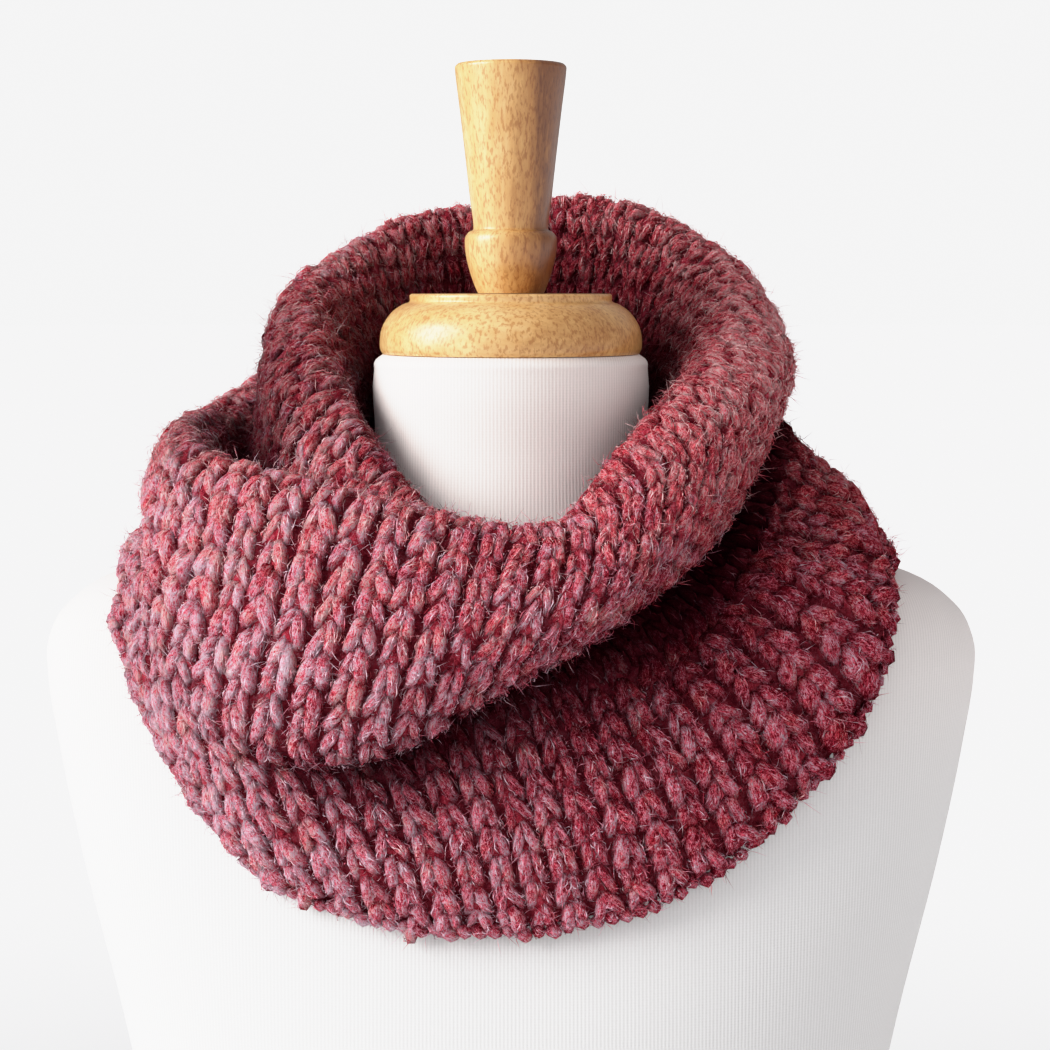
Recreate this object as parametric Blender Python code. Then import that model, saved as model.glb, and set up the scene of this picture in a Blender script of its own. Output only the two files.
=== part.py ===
"""A ribbed knit infinity scarf, worn once round the neck of a limbless dress form.

The scarf is one tube of thick knitting. Its hem lies on the chest, the shoulders and the back,
its upper half slouches into a thick roll in front, and its top is folded inwards round the neck.
The form is a jersey-covered bust with a turned wooden neck cap and handle.

Frame: metres, +Z up. The form stands on z = 0 with its neck on the Z axis and faces -Y.
An azimuth is an angle round the Z axis, 0 at the front (-Y) and 90 degrees at +X.
A rise is a height above the flat top of the neck.
"""
import math

import bpy
import numpy as np

MM = 0.001

# Heights of the form
NECK_TOP = 700 * MM
SEAT_GAP = 0.3 * MM             # between two pieces that touch

# The knitted wall
RIB_COUNT = 68
WALL = 4.5 * MM                 # cloth between the ribs
RIB_HEIGHT = 3.0 * MM           # how far a rib stands out of the cloth
FORM_GAP = 1.5 * MM             # points of the cloth to the smooth form
CHORD_GAP = 1.3 * MM            # straight edges between those points to the smooth form
ROWS_PER_FOLD = 2               # outer rows from one fold line to the next
RIB_SPREAD = (0.12, 0.06)       # at the rims, ribs stand further apart in front than at the sides
LEAN_CENTRES = (-50, 30)        # azimuths in degrees where the ribs turn most, to the left and to the right

# Moving cloth off the form
PUSH_ROUNDS = 6                 # each brings the points nearer to their gap
SLOPE_STEP = 0.5 * MM           # height over which the form's slope is measured

# Fineness of the form
TORSO_COLUMNS = 48
RINGS_PER_SECTION = 2
TURNED_SIDES = 32
SHARP_ANGLE = math.radians(30)  # edges sharper than this stay crisp

# Colour and roughness of each material
KNIT = ((0.30, 0.055, 0.085), 0.95)
JERSEY = ((0.80, 0.79, 0.77), 0.85)
TURNED_WOOD = ((0.62, 0.40, 0.20), 0.35)

# Sections of the form, from the neck down. All in mm:
# rise, half width, depth in front of the axis, depth behind it, and how square the section is.
TORSO_SECTIONS = (
    (0, 54.5, 54.5, 54.5, 2.0),
    (-2, 57.2, 57.2, 57.2, 2.0),
    (-7, 58.2, 58.2, 58.2, 2.0),
    (-40, 58.5, 58.5, 58.5, 2.0),
    (-54, 62.0, 61.0, 62.5, 2.0),
    (-64, 71.0, 63.5, 66.5, 2.0),
    (-74, 98.0, 66.0, 70.0, 2.0),
    (-84, 139.0, 69.5, 74.5, 2.05),
    (-94, 172.0, 73.5, 79.5, 2.1),
    (-106, 190.0, 78.5, 85.0, 2.15),
    (-120, 198.0, 84.5, 90.0, 2.15),
    (-138, 198.5, 91.0, 94.0, 2.15),
    (-160, 195.0, 96.5, 97.5, 2.2),
    (-211, 184.5, 107.0, 102.5, 2.3),
    (-269, 170.0, 117.5, 102.0, 2.3),
    (-320, 158.5, 119.0, 96.0, 2.3),
    (-375, 143.5, 109.0, 86.0, 2.3),
    (-430, 131.0, 96.0, 78.5, 2.25),
    (-485, 127.0, 90.0, 80.0, 2.2),
    (-540, 137.0, 93.5, 92.0, 2.2),
    (-600, 157.0, 98.5, 106.5, 2.2),
    (-655, 169.0, 100.5, 113.5, 2.2),
    (-700, 172.0, 99.5, 114.0, 2.2),
)

# Turned profiles, (radius, height over the piece's seat) in mm, from the bottom up
CAP_PROFILE = ((54.6, 0.0), (55.5, 1.9), (55.6, 6.7), (54.6, 11.2), (52.4, 15.2), (49.4, 18.5), (45.6, 20.9),
               (43.4, 21.7), (42.9, 22.3), (42.9, 24.5), (42.2, 25.2))
FINIAL_PROFILE = ((14.0, 0.0), (15.6, 3.7), (17.6, 9.7), (19.0, 15.7), (19.5, 20.7), (19.2, 23.7),
                  (17.6, 25.8), (16.0, 26.6), (15.8, 27.8), (17.3, 40.2), (19.3, 58.2), (21.4, 76.2),
                  (23.4, 92.7), (23.4, 94.5), (22.4, 95.6))

# The scarf's folds. Each section is a plane through the Z axis at one of these azimuths.
SECTION_AZIMUTHS = (-150, -120, -90, -77, -65, -45, -25, -5, 15, 35, 60, 76, 90, 120, 150, 180)

# One row for each fold line, from the hidden top edge beside the neck, over the rims, down to the hem:
# name, share of the ribs' spread, greatest turns of the ribs in degrees about the two lean centres,
# share of the rib's height, then radius and rise in mm by section.
FOLD_LINES = (
    ("top edge", 1, (0, 0), 0.3,
     (70, 70, 70, 70, 71, 74, 77, 78, 79, 74, 71, 70, 70, 70, 70, 70),
     (-36, -42, -50, -52, -55, -66, -78, -88, -88, -72, -56, -52, -50, -42, -36, -34)),
    ("inner wall", 1, (0, 0), 1.0,
     (80, 72, 66, 67, 68, 68, 74, 75, 76, 71, 67, 67, 67, 72, 80, 82),
     (12, -5, -20, -27, -35, -52, -66, -76, -75, -54, -34, -27, -20, -5, 15, 20)),
    ("inner rim", 1, (0, 0), 1.0,
     (95, 97, 84, 82, 80, 80, 83, 80, 80, 76, 77, 79, 83, 99, 95, 92),
     (55, 32, 10, -2, -15, -38, -58, -67, -66, -40, -16, -5, 4, 34, 60, 61)),
    ("rim flank", 1, (0, 0), 1.0,
     (105, 112, 101, 99, 96, 93, 92, 86, 86, 83, 86, 91, 97, 113, 106, 101),
     (56, 26, -2, -14, -28, -50, -60, -65.5, -63.5, -37, -13, -2, 7, 38, 65, 66)),
    ("pocket", 1, (0, 0), 0.4,
     (115, 122, 112, 110, 107, 102, 99, 92, 92, 90, 94, 100, 108, 122, 115, 108),
     (46, -18, -48, -52, -54, -58, -60.5, -65, -64, -39, -15, -5, 3, 32, 61, 62)),
    ("outer rim", 1, (0, 0), 1.0,
     (125, 140, 138, 137, 135, 126, 110, 101, 101, 99, 103, 109, 115, 127, 121, 114),
     (32, -18, -31, -35, -40, -47, -57, -68, -69, -46, -24, -13, -4, 20, 46, 47)),
    ("bulge", 0, (-5, 0), 1.0,
     (132, 151, 151, 153, 154, 151, 142, 128, 121, 112, 109, 112, 118, 129, 125, 120),
     (5, -42, -53, -57, -66, -92, -104, -98, -90, -67, -43, -25, -11, 0, 10, 10)),
    ("under roll", -0.4, (-12, 0), 0.5,
     (134, 151, 148, 150, 157, 154, 137, 120, 111, 106, 102, 105, 113, 126, 124, 118),
     (-30, -60, -64, -69, -84, -132, -146, -126, -106, -86, -64, -42, -24, -22, -28, -30)),
    ("crease", -0.4, (-13, 0), 0.1,
     (129, 147, 147, 151, 160, 150, 121, 103, 99, 98, 95, 99, 110, 121, 116, 110),
     (-58, -72, -69, -74, -95, -148, -151, -129, -113, -94, -71, -49, -30, -36, -50, -55)),
    ("stand", -0.3, (-12, 2), 0.6,
     (130, 149, 152, 156, 163, 149, 122, 109, 109, 112, 111, 112, 117, 125, 119, 113),
     (-78, -80, -72, -79, -103, -156, -160, -139, -124, -107, -76, -54, -35, -50, -72, -77)),
    ("second crease", -0.2, (-12, 6), 0.8,
     (125, 150, 154, 159, 165, 149, 125, 111, 109, 111, 113, 115, 123, 130, 117, 111),
     (-96, -90, -74, -84, -112, -167, -175, -160, -148, -127, -87, -61, -42, -64, -94, -100)),
    ("skirt", -0.1, (-12, 11), 1.0,
     (121, 151, 156, 161, 164, 147, 127, 116, 116, 123, 136, 143, 147, 142, 119, 112),
     (-118, -101, -77, -87, -124, -180, -194, -188, -180, -160, -113, -77, -62, -86, -118, -124)),
    ("hem", 0, (-12, 15), 1.0,
     (112, 146, 160, 164, 162, 139, 120, 113, 115, 127, 152, 162, 159, 146, 113, 107),
     (-143, -117, -83, -93, -138, -199, -217, -221, -217, -203, -152, -92, -83, -117, -143, -152)),
)


def cubic_through(knots, values, samples):
    """Return the smooth curve through values (first axis) at knots, read at samples.

    Each stretch is a cubic whose slope at a knot is the weighted mean of the two chords beside it.
    """
    widths = np.diff(knots)
    chords = np.diff(values, axis=0) / widths.reshape((-1,) + (1,) * (values.ndim - 1))
    slopes = np.empty_like(values)
    slopes[0], slopes[-1] = chords[0], chords[-1]
    before, after = widths[:-1], widths[1:]
    weight = (after / (before + after)).reshape((-1,) + (1,) * (values.ndim - 1))
    slopes[1:-1] = weight * chords[:-1] + (1 - weight) * chords[1:]
    stretch = np.clip(np.searchsorted(knots, samples, side="right") - 1, 0, len(knots) - 2)
    shape = (-1,) + (1,) * (values.ndim - 1)
    width = widths[stretch].reshape(shape)
    t = ((samples - knots[stretch]) / widths[stretch]).reshape(shape)
    return ((2 * t**3 - 3 * t**2 + 1) * values[stretch] + (t**3 - 2 * t**2 + t) * width * slopes[stretch]
            + (3 * t**2 - 2 * t**3) * values[stretch + 1] + (t**3 - t**2) * width * slopes[stretch + 1])


def form_section(rise):
    """Return half width, front depth, back depth and squareness of the form at each rise."""
    table = np.array(TORSO_SECTIONS[::-1], dtype=float)
    flat = np.clip(np.ravel(rise), table[0, 0] * MM, 0)
    found = cubic_through(table[:, 0] * MM, table[:, 1:] * [MM, MM, MM, 1], flat)
    return [found[:, column].reshape(np.shape(rise)) for column in range(4)]


def form_radius(azimuth, rise):
    """Return how far the form reaches from the Z axis at an azimuth (radians) and a rise."""
    half_width, front, back, square = form_section(rise)
    depth = np.where(np.cos(azimuth) > 0, front, back)
    return (np.abs(np.sin(azimuth) / half_width)**square
            + np.abs(np.cos(azimuth) / depth)**square)**(-1 / square)


def push_off_form(points, gap):
    """Return how far each point has to move, as a vector, to stand at least gap off the form."""
    moved = points.copy()
    for _ in range(PUSH_ROUNDS):
        azimuth = np.arctan2(moved[..., 0], -moved[..., 1])
        radius = np.hypot(moved[..., 0], moved[..., 1])
        rise = moved[..., 2] - NECK_TOP
        reach = form_radius(azimuth, rise)
        above, below = form_radius(azimuth, rise + SLOPE_STEP), form_radius(azimuth, rise - SLOPE_STEP)
        slope = (above - below) / (2 * SLOPE_STEP)
        length = np.sqrt(1 + slope**2)
        short = np.maximum(gap - (radius - reach) / length, 0) / length
        moved[..., 0] += short * np.sin(azimuth)
        moved[..., 1] -= short * np.cos(azimuth)
        moved[..., 2] -= short * slope
    return moved - points


def fold_points(columns):
    """Return the fold lines' points, [line, column, xyz], for ribs that are even round the tube."""
    stations = np.radians(SECTION_AZIMUTHS)
    knots = np.concatenate([stations - 2 * math.pi, stations, stations + 2 * math.pi])
    bunching = RIB_SPREAD[0] * np.sin(columns) + RIB_SPREAD[1] * np.sin(2 * columns)
    leans = (1 + np.cos(columns[:, None] - np.radians(LEAN_CENTRES))) / 2
    lines = []
    for _, spread, turns, _, radii, rises in FOLD_LINES:
        azimuth = columns + spread * bunching + leans @ np.radians(turns)
        section = np.tile(np.array([radii, rises], dtype=float).T * MM, (3, 1))
        radius, rise = cubic_through(knots, section, azimuth).T
        lines.append(np.stack([radius * np.sin(azimuth), -radius * np.cos(azimuth), NECK_TOP + rise], axis=-1))
    return np.array(lines)


def surface_normals(grid):
    """Return unit normals of a grid [row, column, xyz] that closes round its columns."""
    along = np.gradient(grid, axis=0)
    around = np.roll(grid, -1, axis=1) - np.roll(grid, 1, axis=1)
    normal = np.cross(along, around)
    return normal / np.linalg.norm(normal, axis=-1, keepdims=True)


def chord_shift(hidden):
    """Return how far every outer column has to move so that the plain face's edges clear the form."""
    middles = (hidden + np.roll(hidden, -1, axis=1)) / 2
    need = push_off_form(middles, CHORD_GAP)
    gutters = need + np.roll(need, 1, axis=1)
    crests = (gutters + np.roll(gutters, -1, axis=1)) / 2
    return np.stack([gutters, crests], axis=2).reshape(len(hidden), -1, 3)


def knit_wall():
    """Return the scarf's visible face with its ribs, and its plain hidden face, as two grids."""
    lines = fold_points(np.linspace(-math.pi, math.pi, 2 * RIB_COUNT, endpoint=False))
    chords = np.linalg.norm(np.diff(lines, axis=0), axis=-1).mean(axis=1)
    knots = np.concatenate([[0], np.cumsum(np.sqrt(chords))])
    steps = np.arange(ROWS_PER_FOLD * (len(lines) - 1) + 1) / ROWS_PER_FOLD
    samples = np.interp(steps, np.arange(len(lines)), knots)
    face = cubic_through(knots, lines, samples)
    share = np.interp(steps, np.arange(len(lines)), [line[3] for line in FOLD_LINES])[:, None]
    crest = (np.arange(2 * RIB_COUNT) % 2)[None, :] * share
    normal = surface_normals(face)
    lift = (RIB_HEIGHT * crest)[..., None] * normal
    visible, hidden = face + lift, face - WALL * normal
    need_hidden = push_off_form(hidden, FORM_GAP)
    need_visible = push_off_form(face + (RIB_HEIGHT * share)[..., None] * normal, FORM_GAP)
    larger = np.linalg.norm(need_hidden, axis=-1) > np.linalg.norm(need_visible, axis=-1)
    shift = np.where(larger[..., None], need_hidden, need_visible)
    shift += chord_shift((hidden + shift)[:, ::2])
    return visible + shift, (hidden + shift)[:, ::2]


def make_object(name, points, faces, finish):
    """Add one named mesh object with its own material, a (colour, roughness) pair."""
    colour, roughness = finish
    mesh = bpy.data.meshes.new(name)
    mesh.from_pydata([tuple(map(float, point)) for point in points], [], faces)
    mesh.validate()
    piece = bpy.data.objects.new(name, mesh)
    bpy.context.collection.objects.link(piece)
    material = bpy.data.materials.new(name + "_material")
    material.use_nodes = True
    shader = material.node_tree.nodes["Principled BSDF"]
    shader.inputs["Base Color"].default_value = (*colour, 1)
    shader.inputs["Roughness"].default_value = roughness
    shader.inputs["Metallic"].default_value = 0
    mesh.materials.append(material)
    mesh.shade_smooth()
    mesh.set_sharp_from_angle(angle=SHARP_ANGLE)
    return piece


def grid_faces(rows, columns, start=0):
    """Return the quads of a grid that closes round its columns, numbered from start."""
    return [(start + row * columns + column, start + row * columns + (column + 1) % columns,
             start + (row + 1) * columns + (column + 1) % columns, start + (row + 1) * columns + column)
            for row in range(rows - 1) for column in range(columns)]


def make_cowl():
    """Build the scarf: ribbed face, plain face, and a strip at each edge that joins the two."""
    visible, hidden = knit_wall()
    rows, outer_columns = visible.shape[:2]
    inner_columns = hidden.shape[1]
    start = rows * outer_columns
    points = np.concatenate([visible.reshape(-1, 3), hidden.reshape(-1, 3)])
    faces = [face[::-1] for face in grid_faces(rows, outer_columns)]
    faces += grid_faces(rows, inner_columns, start)
    for row, outward in ((0, False), (rows - 1, True)):
        for column in range(inner_columns):
            left, crest = row * outer_columns + 2 * column, row * outer_columns + 2 * column + 1
            right = row * outer_columns + (2 * column + 2) % outer_columns
            under = start + row * inner_columns + column
            under_next = start + row * inner_columns + (column + 1) % inner_columns
            strip = [(left, under, crest), (crest, under, under_next), (crest, under_next, right)]
            faces += strip if outward else [face[::-1] for face in strip]
    return make_object("cowl", points, faces, KNIT)


def closed_loft(name, rings, finish):
    """Build a closed body through rings of points, listed from the bottom up, with flat ends."""
    rows, columns = rings.shape[:2]
    faces = grid_faces(rows, columns)
    faces.append(tuple(range(columns))[::-1])
    faces.append(tuple((rows - 1) * columns + column for column in range(columns)))
    return make_object(name, rings.reshape(-1, 3), faces, finish)


def make_torso():
    """Build the form: rings closer together where the neck flares into the shoulders."""
    table_rises = np.array([section[0] for section in TORSO_SECTIONS[::-1]], dtype=float) * MM
    steps = np.linspace(0, len(table_rises) - 1, RINGS_PER_SECTION * (len(table_rises) - 1) + 1)
    rises = np.interp(steps, np.arange(len(table_rises)), table_rises)
    around = np.linspace(0, 2 * math.pi, TORSO_COLUMNS, endpoint=False)
    half_width, front, back, square = [value[:, None] for value in form_section(rises)]
    sine, cosine = np.sin(around)[None, :], np.cos(around)[None, :]
    depth = np.where(cosine > 0, front, back)
    x = half_width * np.sign(sine) * np.abs(sine)**(2 / square)
    y = -depth * np.sign(cosine) * np.abs(cosine)**(2 / square)
    z = np.broadcast_to(NECK_TOP + rises[:, None], x.shape)
    return closed_loft("torso", np.stack([x, y, z], axis=-1), JERSEY)


def make_turned(name, profile, seat):
    """Turn a wooden piece from its profile, on a seat at that height, and return the height of its top."""
    around = np.linspace(0, 2 * math.pi, TURNED_SIDES, endpoint=False)
    radius, height = np.array(profile).T[:, :, None] * MM
    rings = np.broadcast_arrays(radius * np.sin(around), -radius * np.cos(around), seat + height)
    closed_loft(name, np.stack(rings, axis=-1), TURNED_WOOD)
    return seat + profile[-1][1] * MM


def main():
    for old in list(bpy.data.objects):
        bpy.data.objects.remove(old)
    make_torso()
    cap_top = make_turned("neck_cap", CAP_PROFILE, NECK_TOP + SEAT_GAP)
    make_turned("finial", FINIAL_PROFILE, cap_top + SEAT_GAP)
    make_cowl()


main()
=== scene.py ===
# %% [markdown]
# # A ribbed infinity scarf on a dress form
# The scarf is one tube of thick, fuzzy knitting. It goes once round the neck of a jersey-covered
# form, its upper half slouches into a roll, and its top is folded inwards. We load the packed
# model first: it is the fixed frame, and every piece below is built where its solids are.

import math

import bpy
import numpy as np
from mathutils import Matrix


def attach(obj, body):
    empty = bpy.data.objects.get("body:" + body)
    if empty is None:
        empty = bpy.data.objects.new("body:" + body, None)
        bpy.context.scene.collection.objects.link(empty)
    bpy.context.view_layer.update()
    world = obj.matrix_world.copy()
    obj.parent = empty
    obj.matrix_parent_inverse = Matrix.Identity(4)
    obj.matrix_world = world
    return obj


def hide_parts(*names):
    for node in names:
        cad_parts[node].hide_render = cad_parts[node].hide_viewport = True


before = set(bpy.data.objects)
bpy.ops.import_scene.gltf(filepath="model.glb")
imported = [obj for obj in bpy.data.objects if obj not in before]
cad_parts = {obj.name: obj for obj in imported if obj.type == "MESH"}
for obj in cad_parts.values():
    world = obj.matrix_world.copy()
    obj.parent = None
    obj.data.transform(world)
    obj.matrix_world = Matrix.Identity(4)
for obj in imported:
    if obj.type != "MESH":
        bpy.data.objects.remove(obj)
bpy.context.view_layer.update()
MM = 0.001
print("solids:", sorted(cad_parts))

# %% [markdown]
# ## Putting arrays into meshes
# Every shape here is worked out with numpy as whole arrays. Blender takes them fastest through
# `foreach_set`, so one helper turns points and faces into an object that stays at the origin.


# %% From arrays to an object
def make_piece(name, points, face_sets, material, sharp_degrees=None):
    """Add one object from points [n, xyz] and face sets, each an array [m, corners] of point numbers."""
    mesh = bpy.data.meshes.new(name)
    corners = np.concatenate([faces.ravel() for faces in face_sets]).astype(np.int32)
    sizes = np.concatenate([np.full(len(faces), faces.shape[1]) for faces in face_sets])
    mesh.vertices.add(len(points))
    mesh.vertices.foreach_set("co", points.astype(np.float32).ravel())
    mesh.loops.add(len(corners))
    mesh.loops.foreach_set("vertex_index", corners)
    mesh.polygons.add(len(sizes))
    mesh.polygons.foreach_set("loop_start", (np.cumsum(sizes) - sizes).astype(np.int32))
    mesh.update(calc_edges=True)
    mesh.shade_smooth()
    if sharp_degrees is not None:
        mesh.set_sharp_from_angle(angle=math.radians(sharp_degrees))
    mesh.materials.append(material)
    piece = bpy.data.objects.new(name, mesh)
    bpy.context.scene.collection.objects.link(piece)
    return piece


def add_map(piece, name, places):
    """Give a piece a UV map from places [corner, 2], in the order of its faces' corners."""
    piece.data.uv_layers.new(name=name).uv.foreach_set("vector", places.astype(np.float32).ravel())


def add_values(piece, name, values):
    """Give a piece one number for each point, for its material to read."""
    attribute = piece.data.attributes.new(name, "FLOAT", "POINT")
    attribute.data.foreach_set("value", values.astype(np.float32).ravel())


def grid_faces(rows, columns, start=0):
    """Number the quads of a grid that closes round its columns.

    A quad's normal is the way to the next column crossed with the way to the next row.
    """
    row, column = np.meshgrid(np.arange(rows - 1), np.arange(columns), indexing="ij")
    after = (column + 1) % columns
    corners = [row * columns + column, row * columns + after,
               (row + 1) * columns + after, (row + 1) * columns + column]
    return start + np.stack(corners, axis=-1).reshape(-1, 4)


def make_loft(name, rings, material, sharp_degrees):
    """Add one object from rings [ring, column, xyz] that run upwards, with a flat face at each end."""
    rows, columns = rings.shape[:2]
    ring = np.arange(columns)
    faces = [grid_faces(rows, columns), ring[None, ::-1], (rows - 1) * columns + ring[None]]
    return make_piece(name, rings.reshape(-1, 3), faces, material, sharp_degrees)


# %% [markdown]
# ## Writing materials as expressions
# A shader is a graph of small steps. Wrapping a socket in a class with `+ - *` lets us write the
# maths as we would on paper, and one `node` method makes every other kind of step.


# %% A socket that does maths
class Socket:
    """The output of a shader node. Sums and products of sockets and numbers add Math nodes."""

    def __init__(self, graph, output):
        self.graph, self.output = graph, output

    def math(self, operation, first, second):
        return self.graph.node("Math", {"operation": operation}, {0: first, 1: second})

    def __add__(self, other):
        return self.math("ADD", self, other)

    def __sub__(self, other):
        return self.math("SUBTRACT", self, other)

    def __rsub__(self, other):
        return self.math("SUBTRACT", other, self)

    def __mul__(self, other):
        return self.math("MULTIPLY", self, other)

    __radd__, __rmul__ = __add__, __mul__


class Graph:
    """A tree of shader nodes, and the ways to add to it."""

    def __init__(self, tree):
        self.tree = tree

    def node(self, kind, settings=None, inputs=None, output=0):
        """Add a node and return one of its outputs.

        Its settings come first, a ramp's stops among them, then its sockets' values or links.
        """
        made = self.tree.nodes.new("ShaderNode" + kind)
        settings = dict(settings or {})
        stops = settings.pop("stops", ())
        for name, value in settings.items():
            setattr(made, name, value)
        for place, (position, colour) in enumerate(stops):
            if place == len(made.color_ramp.elements):
                made.color_ramp.elements.new(position)
            made.color_ramp.elements[place].position = position
            made.color_ramp.elements[place].color = (*colour, 1)
        for socket, value in (inputs or {}).items():
            self.fill(made.inputs[socket], value)
        return Socket(self, made.outputs[output])

    def fill(self, socket, value):
        """Link a socket, or set the value that it holds."""
        if isinstance(value, Socket):
            self.tree.links.new(value.output, socket)
        else:
            socket.default_value = value

    def place(self):
        """Object coordinates: metres from the middle of the form's foot."""
        return self.node("TexCoord", output=3)

    def on_map(self, name):
        """A place on one of the piece's own UV maps."""
        return self.node("UVMap", {"uv_map": name})

    def point_value(self, name):
        """The number that each of the piece's points was given."""
        return self.node("Attribute", {"attribute_name": name}, output=2)

    def split(self, vector):
        """Return a vector's three parts."""
        parts = self.node("SeparateXYZ", inputs={0: vector}).output.node.outputs
        return [Socket(self, part) for part in parts]

    def sine(self, value):
        return self.node("Math", {"operation": "SINE"}, {0: value})

    def ramp(self, stops, value):
        """Read a value as a colour between the stops' colours."""
        return self.node("ValToRGB", {"stops": stops}, {0: value})

    def mix(self, factor, first, second, blend="MIX"):
        """Mix two colours."""
        settings = {"data_type": "RGBA", "blend_type": blend, "clamp_factor": True}
        return self.node("Mix", settings, {"Factor": factor, 6: first, 7: second}, output=2)

    def tint(self, colour, cast):
        """Multiply a colour by another."""
        return self.mix(1.0, colour, cast, "MULTIPLY")

    def noise(self, vector, scale, detail=2.0, roughness=0.5):
        """Smooth random values, near 0.5, that change over 1 / scale."""
        inputs = {"Vector": vector, "Scale": scale, "Detail": detail, "Roughness": roughness}
        return self.node("TexNoise", inputs=inputs)

    def stretched(self, vector, scale):
        """Scale a vector's three axes apart, which draws a pattern out along the smallest."""
        return self.node("Mapping", inputs={"Vector": vector, "Scale": scale})

    def remap(self, value, low, high, new_low=0.0, new_high=1.0):
        """Read low to high as new_low to new_high, clamped and eased."""
        inputs = {"Value": value, "From Min": low, "From Max": high, "To Min": new_low,
                  "To Max": new_high}
        return self.node("MapRange", {"interpolation_type": "SMOOTHSTEP"}, inputs)

    def bump(self, height, distance, strength):
        """Turn a height into a tilted normal; distance is in metres."""
        return self.node("Bump", inputs={"Height": height, "Distance": distance, "Strength": strength})


class Shader(Graph):
    """A new material with one Principled BSDF."""

    def __init__(self, name, **constants):
        self.material = bpy.data.materials.new(name)
        self.material.use_nodes = True
        super().__init__(self.material.node_tree)
        self.feed(**constants)

    def feed(self, **sockets):
        """Fill the surface's own sockets, with spaces for underscores."""
        surface = self.tree.nodes["Principled BSDF"]
        for socket, value in sockets.items():
            self.fill(surface.inputs[socket.replace("_", " ")], value)


# %% [markdown]
# ## Smooth curves through a few rows
# The form and the scarf are each given by a short table. One cubic, whose slope at a row is the
# weighted mean of the two chords beside it, turns either table into a smooth surface.


# %% One curve for every table
def cubic_through(knots, values, samples):
    """Return the curve through values (first axis) at knots, read at samples.

    With t from 0 to 1 in a stretch it is (2t^3 - 3t^2 + 1) v0 + (t^3 - 2t^2 + t) w s0
    + (3t^2 - 2t^3) v1 + (t^3 - t^2) w s1, where w is the stretch's width and s0 and s1 are the
    slopes at its ends.
    """
    widths = np.diff(knots)
    spread = (-1,) + (1,) * (values.ndim - 1)
    chords = np.diff(values, axis=0) / widths.reshape(spread)
    slopes = np.empty_like(values)
    slopes[0], slopes[-1] = chords[0], chords[-1]
    weight = (widths[1:] / (widths[:-1] + widths[1:])).reshape(spread)
    slopes[1:-1] = weight * chords[:-1] + (1 - weight) * chords[1:]
    stretch = np.clip(np.searchsorted(knots, samples, side="right") - 1, 0, len(knots) - 2)
    width = widths[stretch].reshape(spread)
    t = ((samples - knots[stretch]) / widths[stretch]).reshape(spread)
    before, after = values[stretch], values[stretch + 1]
    return ((2 * t**3 - 3 * t**2 + 1) * before + (t**3 - 2 * t**2 + t) * width * slopes[stretch]
            + (3 * t**2 - 2 * t**3) * after + (t**3 - t**2) * width * slopes[stretch + 1])


def refine(values, parts):
    """Return a list's values with parts even steps from each one to the next."""
    places = np.linspace(0, len(values) - 1, parts * (len(values) - 1) + 1)
    return np.interp(places, np.arange(len(values)), values)


def gaps(points, axis=0):
    """Return the distance from each point to the next one along an axis."""
    return np.linalg.norm(np.diff(points, axis=axis), axis=-1)


def running_sum(steps, axis=0):
    """Return the sums so far, from 0 before the first step to the whole after the last."""
    return np.insert(np.cumsum(steps, axis=axis), 0, 0, axis=axis)


def even_turn(count, start=-math.pi):
    """Return angles all the way round, evenly apart."""
    return np.linspace(start, start + 2 * math.pi, count, endpoint=False)


def turned(radius, azimuth, height):
    """Return points (r sin(a), -r cos(a), h): azimuth 0 is the front, and 90 degrees is +X."""
    x, y = radius * np.sin(azimuth), -radius * np.cos(azimuth)
    return np.stack(np.broadcast_arrays(x, y, height), axis=-1)


# %% [markdown]
# ## The form's shape
# A dress form is a padded shell under stretched jersey. Its sections are rounded boxes
# (superellipses): half width, depth in front and behind, and how square each one is.

# %% The form's sections
NECK_TOP = 0.700

# In mm: rise over the neck's top, half width, depth in front, depth behind, squareness
FORM_SECTIONS = (
    (0, 54.5, 54.5, 54.5, 2.0), (-2, 57.2, 57.2, 57.2, 2.0), (-7, 58.2, 58.2, 58.2, 2.0),
    (-40, 58.5, 58.5, 58.5, 2.0), (-54, 62.0, 61.0, 62.5, 2.0), (-64, 71.0, 63.5, 66.5, 2.0),
    (-74, 98.0, 66.0, 70.0, 2.0), (-84, 139.0, 69.5, 74.5, 2.05), (-94, 172.0, 73.5, 79.5, 2.1),
    (-106, 190.0, 78.5, 85.0, 2.15), (-120, 198.0, 84.5, 90.0, 2.15), (-138, 198.5, 91.0, 94.0, 2.15),
    (-160, 195.0, 96.5, 97.5, 2.2), (-211, 184.5, 107.0, 102.5, 2.3), (-269, 170.0, 117.5, 102.0, 2.3),
    (-320, 158.5, 119.0, 96.0, 2.3), (-375, 143.5, 109.0, 86.0, 2.3), (-430, 131.0, 96.0, 78.5, 2.25),
    (-485, 127.0, 90.0, 80.0, 2.2), (-540, 137.0, 93.5, 92.0, 2.2), (-600, 157.0, 98.5, 106.5, 2.2),
    (-655, 169.0, 100.5, 113.5, 2.2), (-700, 172.0, 99.5, 114.0, 2.2),
)


def form_section(rise):
    """Return half width, depth in front, depth behind and squareness at each rise, in metres."""
    table = np.array(FORM_SECTIONS[::-1], dtype=float) * [MM, MM, MM, MM, 1]
    found = cubic_through(table[:, 0], table[:, 1:], np.clip(np.ravel(rise), table[0, 0], 0))
    return [found[:, column].reshape(np.shape(rise)) for column in range(4)]


def form_radius(azimuth, rise):
    """Return the reach r from the Z axis, from |r sin(a) / width|^k + |r cos(a) / depth|^k = 1."""
    half_width, front, back, square = form_section(rise)
    depth = np.where(np.cos(azimuth) > 0, front, back)
    return (np.abs(np.sin(azimuth) / half_width)**square
            + np.abs(np.cos(azimuth) / depth)**square)**(-1 / square)


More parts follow.
